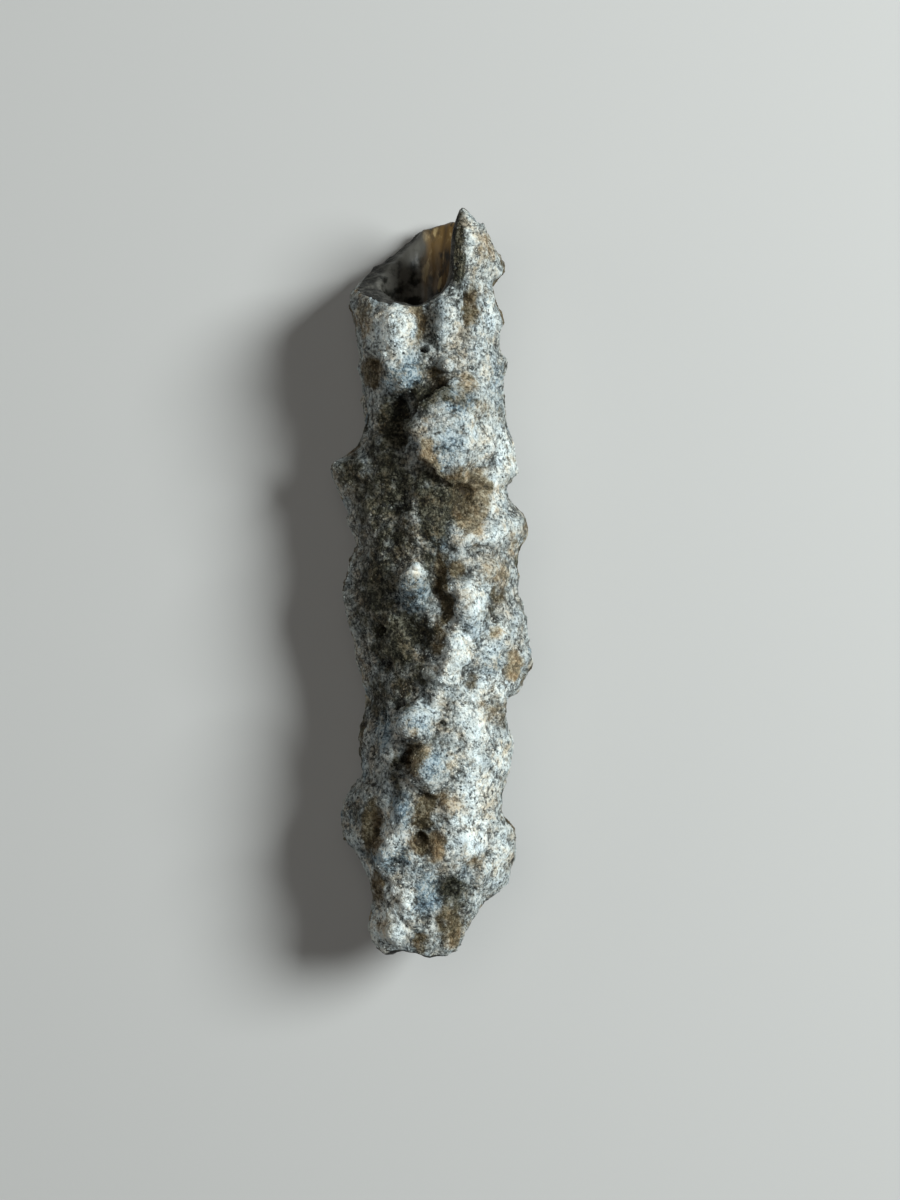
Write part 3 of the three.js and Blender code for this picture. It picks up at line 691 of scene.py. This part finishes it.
def make_crust_material(settings):
    """Half-melted sand outside and streaky glass inside, told apart by the mesh's own attributes."""
    crust, lining = settings.fulgurite_crust, settings.fulgurite_lining
    material = bpy.data.materials.new("fused_sand_and_glass")
    kit = NodeKit(material)
    place = kit.millimetres()
    relief, inside = kit.attribute("relief"), kit.attribute("lining")

    grains = kit.cells(place, GRAIN_CELL)
    fine = kit.cells(place, FINE_CELL)
    grain_tone, grain_hue = kit.cell_number(grains, 0), kit.cell_number(grains, 2)
    fine_tone = kit.cell_number(fine, 1)
    # Painted light and shade: the speckle is lighter on raised crust and darker in its hollows.
    relief_light_and_shade = relief.between(0.05, 0.95) - 0.5
    strands = kit.noise(place, 0.55, 3.0, 0.6)
    threads = 1.0 - strands.between(0.40, 0.50) * strands.between(0.60, 0.50)
    speckle = 0.5 + (kit.noise(place, 0.36, 4.0, 0.68) - 0.5) * 2.0 + (grain_tone - 0.5) * 0.40
    speckle = speckle + (fine_tone - 0.5) * 0.45 + (kit.noise(place, 1.4, 3.0) - 0.5) * 1.1 + relief_light_and_shade * 0.35
    speckle = speckle + (0.85 - threads) * 0.16
    sand = sand_colour(kit, crust, speckle, kit.noise(place, 0.9, 4.0, 0.6))
    sand = tint_by_drift(kit, sand, place, grain_hue)
    # Painted shade: the sand is darkened with a warm dark grey where the crust lies below its surroundings,
    # partly for the darker glass in the hollows.
    crevice_shade = relief.between(0.40, 0.02) * 0.7
    sand = kit.blend(crevice_shade, sand, (0.34, 0.30, 0.23, 1.0), "MULTIPLY")

    facets = Value(kit, kit.cells(place, 0.8).outputs["Distance"])
    fresh = kit.ramp(facets * 0.6 + kit.noise(place, 0.5, 3.0) * 0.6, [
        (0.38, Vector(lining.black)),
        (0.58, Vector(lining.smoky) * 0.18),
        (0.80, Vector(lining.smoky) * 0.65),
    ])
    broken = (kit.attribute("break") * 1.2 + (kit.noise(place, 0.8) - 0.5) * 1.2).between(0.3, 0.9)
    sand = kit.blend(broken, sand, fresh)

    run_place = kit.millimetres((1.0, 0.36, 1.0))
    streaks = kit.noise(run_place, 1.1, 4.0)
    axes = kit.add("ShaderNodeSeparateXYZ", None, {"Vector": place})
    across, along = Value(kit, axes.outputs["X"]), Value(kit, axes.outputs["Y"])
    # Painted light and shade in the bore: its glass is lighter and more amber towards the mouth, and blacker
    # deeper in.
    at_mouth = along.between(28.0, 33.0)
    ambered = (across * 0.55 + (kit.noise(run_place, 1.6, 3.0) - 0.5) * 2.2).between(-0.9, 0.3)
    clouds = kit.noise(place, 1.2, 4.0) + at_mouth * 0.16 - 0.06
    smoke = kit.blend(clouds.between(0.38, 0.62), (*lining.black, 1.0), (*lining.smoky, 1.0))
    stained = (streaks + at_mouth * 0.05).between(0.38, 0.60)
    warm = kit.blend(stained, (*lining.black, 1.0), (*lining.amber, 1.0))
    warm = kit.blend(kit.noise(run_place, 0.8, 4.0).between(0.53, 0.66), warm, (*lining.honey, 1.0))
    glass = kit.blend(ambered, smoke, warm)

    colour = kit.blend(inside, sand, glass)
    crust_roughness = 0.82 - fine_tone * 0.25
    roughness = crust_roughness * (1.0 - inside) + inside * lining.roughness
    dome = 1.0 - Value(kit, grains.outputs["Distance"])
    tiny = 1.0 - Value(kit, fine.outputs["Distance"])
    sandy = dome * 0.6 + tiny * 0.4 + kit.noise(place, 0.16, 2.0) * 0.25
    height = sandy * (1.0 - inside) + inside * streaks * 0.6
    bump = kit.add("ShaderNodeBump", None, {"Strength": 0.9, "Distance": 0.15 * MM, "Height": height})
    kit.finish({
        "Base Color": colour,
        "Roughness": roughness,
        "Coat Weight": inside * 0.06,
        "Coat Roughness": 0.2,
        "Specular IOR Level": 0.22,
        "IOR": 1.46,
        "Normal": bump.outputs["Normal"],
    })
    return material


def make_grain_material(name, crust, roughness):
    """Sand grains: the colour of the zone that each is stuck to, in a tone of its own."""
    material = bpy.data.materials.new(name)
    kit = NodeKit(material)
    place = kit.millimetres()
    speckle = kit.attribute("tone") + (kit.noise(place, 0.14, 2.0) - 0.5) * 0.7
    # Painted light and shade: a grain is lighter on raised crust and darker in hollows, and takes the painted
    # light and shade of its zone.
    speckle = speckle + (kit.attribute("relief") - 0.5) * 0.4
    colour = sand_colour(kit, crust, speckle, kit.noise(place, 0.9, 4.0, 0.6))
    colour = tint_by_drift(kit, colour, place, kit.attribute("hue"))
    kit.finish({"Base Color": colour, "Roughness": roughness, "IOR": 1.5, "Specular IOR Level": 0.25})
    return material


class FULGURITE_OT_crust(bpy.types.Operator):
    """Grow the fine crust and the glass lining from the solid tube"""

    bl_idname = "fulgurite.crust"
    bl_label = "Crust and lining"

    def execute(self, context):
        mesh = make_crust_mesh(context.scene)
        piece = finish_piece(mesh, "fulgurite_crust", make_crust_material(context.scene))
        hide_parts(NODE)
        return {"FINISHED"}


# Coarse quartz grains that show on the top: (x, y, radius), in mm.
QUARTZ = (
    (3.9, 16.2, 0.46), (4.5, 14.9, 0.34), (2.7, 16.0, 0.26), (1.5, 10.2, 0.32),
    (3.3, 19.4, 0.30), (5.3, 12.6, 0.26), (-3.2, 24.5, 0.34), (-1.7, 25.0, 0.30),
    (-4.4, 23.4, 0.24), (-3.9, 26.2, 0.22), (1.4, 21.5, 0.34), (2.6, 25.4, 0.24),
    (-2.9, 15.6, 0.40), (-1.9, 17.6, 0.34), (-3.6, 13.4, 0.30), (-2.0, 13.8, 0.36),
    (-4.6, 16.4, 0.30), (-3.0, 11.9, 0.30), (-5.8, 7.0, 0.34), (-2.6, 8.0, 0.28),
    (-4.2, 5.2, 0.32), (-1.5, 1.5, 0.44), (-0.9, -3.8, 0.24), (6.0, -4.7, 0.30),
    (6.6, -12.4, 0.28), (3.6, -12.6, 0.24), (-2.6, -10.0, 0.26), (0.6, -11.2, 0.24),
    (-4.2, -34.8, 0.30), (5.2, -16.8, 0.24), (-5.0, -19.4, 0.26), (-3.4, -20.6, 0.26),
    (0.6, -23.6, 0.26), (2.2, -13.6, 0.22), (7.2, 5.2, 0.30), (4.4, 33.6, 0.26),
)
# Kinds of grain: how much each place draws it, the range of its size as a share of the usual radius, and its
# usual tone and how much that varies.
GRAIN_KINDS = (
    {
        "name": "fine_grains",
        "draw": {"base": 1.0, "high": 0.3},
        "size": (0.55, 1.0),
        "tone": (0.50, 0.20),
    },
    {
        "name": "worn_grains",
        "draw": {"base": 0.3, "high": 1.5, "pale": 0.3},
        "size": (0.5, 0.95),
        "tone": (0.60, 0.18),
    },
    {
        "name": "medium_grains",
        "draw": {"base": 0.6, "brown": 0.8, "dark": 1.4},
        "size": (0.8, 1.7),
        "tone": (0.52, 0.26),
    },
)


def read_zones(mesh):
    """The crust's own values at each vertex, by name."""
    values = {}
    for name in ("lining", "break", "relief", *ZONES):
        values[name] = [0.0] * len(mesh.vertices)
        mesh.attributes[name].data.foreach_get("value", values[name])
    return values


def scatter_places(mesh, values, draw, count, rng):
    """Random places on the crust, likelier where the zones draw this kind: (place, normal, vertex there)."""
    weights = []
    for face in mesh.polygons:
        corner = face.vertices[0]
        pull = draw["base"] + draw.get("high", 0.0) * max(0.0, 2.0 * values["relief"][corner] - 1.0)
        pull += sum(draw.get(name, 0.0) * values[name][corner] for name in ZONES)
        outside = (1.0 - values["lining"][corner]) ** 3 * (1.0 - values["break"][corner]) ** 2
        clear = 1.0 if face.center.z > CLEAR_HEIGHT * MM else 0.0
        weights.append(pull * outside * face.area * clear)
    found = []
    for index in rng.choices(range(len(weights)), weights=weights, k=count):
        face = mesh.polygons[index]
        corners = [mesh.vertices[i].co for i in face.vertices]
        a, b = rng.random(), rng.random()
        if a + b > 1.0:
            a, b = 1.0 - a, 1.0 - b
        place = corners[0] + a * (corners[1] - corners[0]) + b * (corners[2] - corners[0])
        found.append((place, face.normal.copy(), face.vertices[0]))
    return found


def grow_grains(name, grains, values, rng):
    """One mesh of angular grains, made in batches so that each stays quick. Each grain is a dictionary."""
    layer_names = ("tone", "hue", "relief", *ZONES)
    whole = bmesh.new()
    for layer_name in layer_names:
        whole.verts.layers.float.new(layer_name)
    batch_mesh = bpy.data.meshes.new("batch")
    for start in range(0, len(grains), GRAIN_BATCH):
        batch = bmesh.new()
        for layer_name in layer_names:
            batch.verts.layers.float.new(layer_name)
        layers = [(batch.verts.layers.float[layer_name], layer_name) for layer_name in layer_names]
        for grain in grains[start:start + GRAIN_BATCH]:
            size = grain["size"]
            stretch = [rng.uniform(low, high) for low, high in GRAIN_STRETCH]
            turn = Euler([rng.uniform(0.0, math.tau) for _ in range(3)]).to_matrix().to_4x4()
            spot = Matrix.Translation(grain["place"] - grain["normal"] * size * GRAIN_SINK)
            matrix = spot @ turn @ Matrix.Diagonal((*stretch, 1.0))
            fineness = grain["fineness"]
            made = bmesh.ops.create_icosphere(batch, subdivisions=fineness, radius=size, matrix=matrix)
            for layer, layer_name in layers:
                value = grain[layer_name] if layer_name in grain else values[layer_name][grain["vertex"]]
                for vert in made["verts"]:
                    vert[layer] = value
        batch.to_mesh(batch_mesh)
        whole.from_mesh(batch_mesh)
        batch.free()
    bpy.data.meshes.remove(batch_mesh)
    for vert in whole.verts:
        vert.co.z = max(vert.co.z, 0.0)
    mesh = bpy.data.meshes.new(name)
    whole.to_mesh(mesh)
    whole.free()
    return mesh


def crust_mesh():
    mesh = bpy.data.meshes.get("fulgurite_crust")
    if mesh is None:
        raise RuntimeError("grow the crust before its grains")
    return mesh


class FULGURITE_OT_quartz(bpy.types.Operator):
    """Set the coarse quartz grains in the top of the crust"""

    bl_idname = "fulgurite.quartz"
    bl_label = "Coarse quartz"

    def execute(self, context):
        mesh = crust_mesh()
        values = read_zones(mesh)
        rng = random.Random(context.scene.fulgurite_grains.seed + 1)
        shape = bmesh.new()
        shape.from_mesh(mesh)
        tree = BVHTree.FromBMesh(shape)
        shape.free()
        grains = []
        for x, y, radius in QUARTZ:
            place, normal, index, _ = tree.ray_cast(Vector((x, y, ABOVE)) * MM, Vector((0.0, 0.0, -1.0)))
            if place is None:
                raise RuntimeError("a quartz grain misses the crust")
            grains.append({
                "place": place,
                "normal": normal,
                "vertex": mesh.polygons[index].vertices[0],
                "size": radius * MM,
                "fineness": 2,
                "tone": rng.uniform(0.62, 0.85),
                "hue": rng.uniform(0.0, 0.35),
            })
        quartz = grow_grains("quartz_grains", grains, values, rng)
        quartz.shade_smooth()
        material = make_grain_material("quartz", context.scene.fulgurite_crust, 0.38)
        finish_piece(quartz, "quartz_grains", material)
        return {"FINISHED"}


class FULGURITE_OT_grains(bpy.types.Operator):
    """Stick sand grains to the crust"""

    bl_idname = "fulgurite.grains"
    bl_label = "Sand grains"

    def execute(self, context):
        settings = context.scene.fulgurite_grains
        mesh = crust_mesh()
        values = read_zones(mesh)
        rng = random.Random(settings.seed)
        material = make_grain_material("sand_grains", context.scene.fulgurite_crust, 0.62)
        for kind in GRAIN_KINDS:
            tone_middle, tone_spread = kind["tone"]
            grains = []
            for place, normal, vertex in scatter_places(mesh, values, kind["draw"], settings.count, rng):
                grains.append({
                    "place": place,
                    "normal": normal,
                    "vertex": vertex,
                    "fineness": 1,
                    "size": settings.radius * rng.uniform(*kind["size"]),
                    "hue": rng.random(),
                    "tone": min(1.0, max(0.0, rng.gauss(tone_middle, tone_spread))),
                })
            finish_piece(grow_grains(kind["name"], grains, values, rng), kind["name"], material)
        return {"FINISHED"}


# The stage. Lengths are in metres, except the lens's.
FLOOR_HALF = 1.5
FOCAL_LENGTH = 100.0  # mm
SENSOR_WIDTH = 36.0  # mm
VIEW_SHIFT = Vector((1.75, -1.7)) * MM  # from the middle of the tube to the point under the camera
# Each lamp: the size of its disk, its place and its colour. Its power is one of the stage's settings.
LAMPS = {
    "key": (0.26, Vector((0.38, 0.11, 0.38)), (0.95, 1.0, 0.99)),
    "fill": (0.5, Vector((-0.15, 0.10, 0.7)), (1.0, 0.97, 0.90)),
    "low": (0.4, Vector((-0.45, 0.0, 0.12)), (1.0, 0.98, 0.94)),
}
SKY_COLOUR = (0.93, 0.95, 1.0, 1.0)


def add_light(name, size, power, place, target, colour):
    light = bpy.data.lights.new(name, "AREA")
    light.shape = "DISK"
    light.size = size
    light.energy = power
    light.color = colour
    lamp = bpy.data.objects.new(name, light)
    lamp.location = place
    lamp.rotation_euler = (target - place).to_track_quat("-Z", "Y").to_euler()
    bpy.context.scene.collection.objects.link(lamp)


class FULGURITE_OT_stage(bpy.types.Operator):
    """Lay the floor, set the lights and hang the camera above the tube"""

    bl_idname = "fulgurite.stage"
    bl_label = "Floor, lights and camera"

    def execute(self, context):
        stage = context.scene.fulgurite_stage
        low, high = CAD_BOX
        middle = Vector(((low.x + high.x) / 2, (low.y + high.y) / 2, AXIS_HEIGHT * MM))

        sheet = bmesh.new()
        bmesh.ops.create_grid(sheet, x_segments=1, y_segments=1, size=FLOOR_HALF)
        mesh = bpy.data.meshes.new("floor")
        sheet.to_mesh(mesh)
        sheet.free()
        floor = bpy.data.objects.new("floor", mesh)
        context.scene.collection.objects.link(floor)
        paint = bpy.data.materials.new("plain_floor")
        NodeKit(paint).finish({"Base Color": (*stage.floor, 1.0), "Roughness": 0.9})
        mesh.materials.append(paint)

        for name, (size, place, colour) in LAMPS.items():
            add_light(name, size, getattr(stage, name + "_power"), place, middle, colour)

        world = bpy.data.worlds.new("studio")
        context.scene.world = world
        world.use_nodes = True
        backdrop = world.node_tree.nodes["Background"]
        backdrop.inputs["Color"].default_value = SKY_COLOUR
        backdrop.inputs["Strength"].default_value = stage.sky

        camera = bpy.data.cameras.new("camera")
        camera.lens = FOCAL_LENGTH
        camera.sensor_width = SENSOR_WIDTH
        camera.clip_start, camera.clip_end = 0.01, 10.0
        hung = bpy.data.objects.new("camera", camera)
        distance = stage.frame_height * camera.lens / camera.sensor_width
        hung.location = middle + Vector((*VIEW_SHIFT, distance))
        context.scene.collection.objects.link(hung)
        context.scene.camera = hung
        context.scene.view_settings.view_transform = "Standard"
        return {"FINISHED"}


class FULGURITE_PT_sidebar(bpy.types.Panel):
    """Settings and steps of the fulgurite"""

    bl_idname = "FULGURITE_PT_sidebar"
    bl_label = "Fulgurite"
    bl_space_type = "VIEW_3D"
    bl_region_type = "UI"
    bl_category = "Fulgurite"

    def draw(self, context):
        for step, groups in STEPS:
            box = self.layout.box()
            for group in groups:
                settings = getattr(context.scene, group)
                for name in type(settings).__annotations__:
                    box.prop(settings, name)
            box.operator(step.bl_idname)


STEPS = (
    (FULGURITE_OT_crust, ("fulgurite_crust", "fulgurite_lining")),
    (FULGURITE_OT_quartz, ()),
    (FULGURITE_OT_grains, ("fulgurite_grains",)),
    (FULGURITE_OT_stage, ("fulgurite_stage",)),
)
GROUPS = {
    "fulgurite_crust": FulguriteCrust,
    "fulgurite_lining": FulguriteLining,
    "fulgurite_grains": FulguriteGrains,
    "fulgurite_stage": FulguriteStage,
}


def register():
    for name, group in GROUPS.items():
        bpy.utils.register_class(group)
        setattr(bpy.types.Scene, name, PointerProperty(type=group))
    for step, _ in STEPS:
        bpy.utils.register_class(step)
    bpy.utils.register_class(FULGURITE_PT_sidebar)


def unregister():
    bpy.utils.unregister_class(FULGURITE_PT_sidebar)
    for step, _ in reversed(STEPS):
        bpy.utils.unregister_class(step)
    for name, group in reversed(GROUPS.items()):
        delattr(bpy.types.Scene, name)
        bpy.utils.unregister_class(group)


def main():
    register()
    bpy.ops.fulgurite.crust()
    bpy.ops.fulgurite.quartz()
    bpy.ops.fulgurite.grains()
    bpy.ops.fulgurite.stage()


if __name__ == "__main__":
    main()
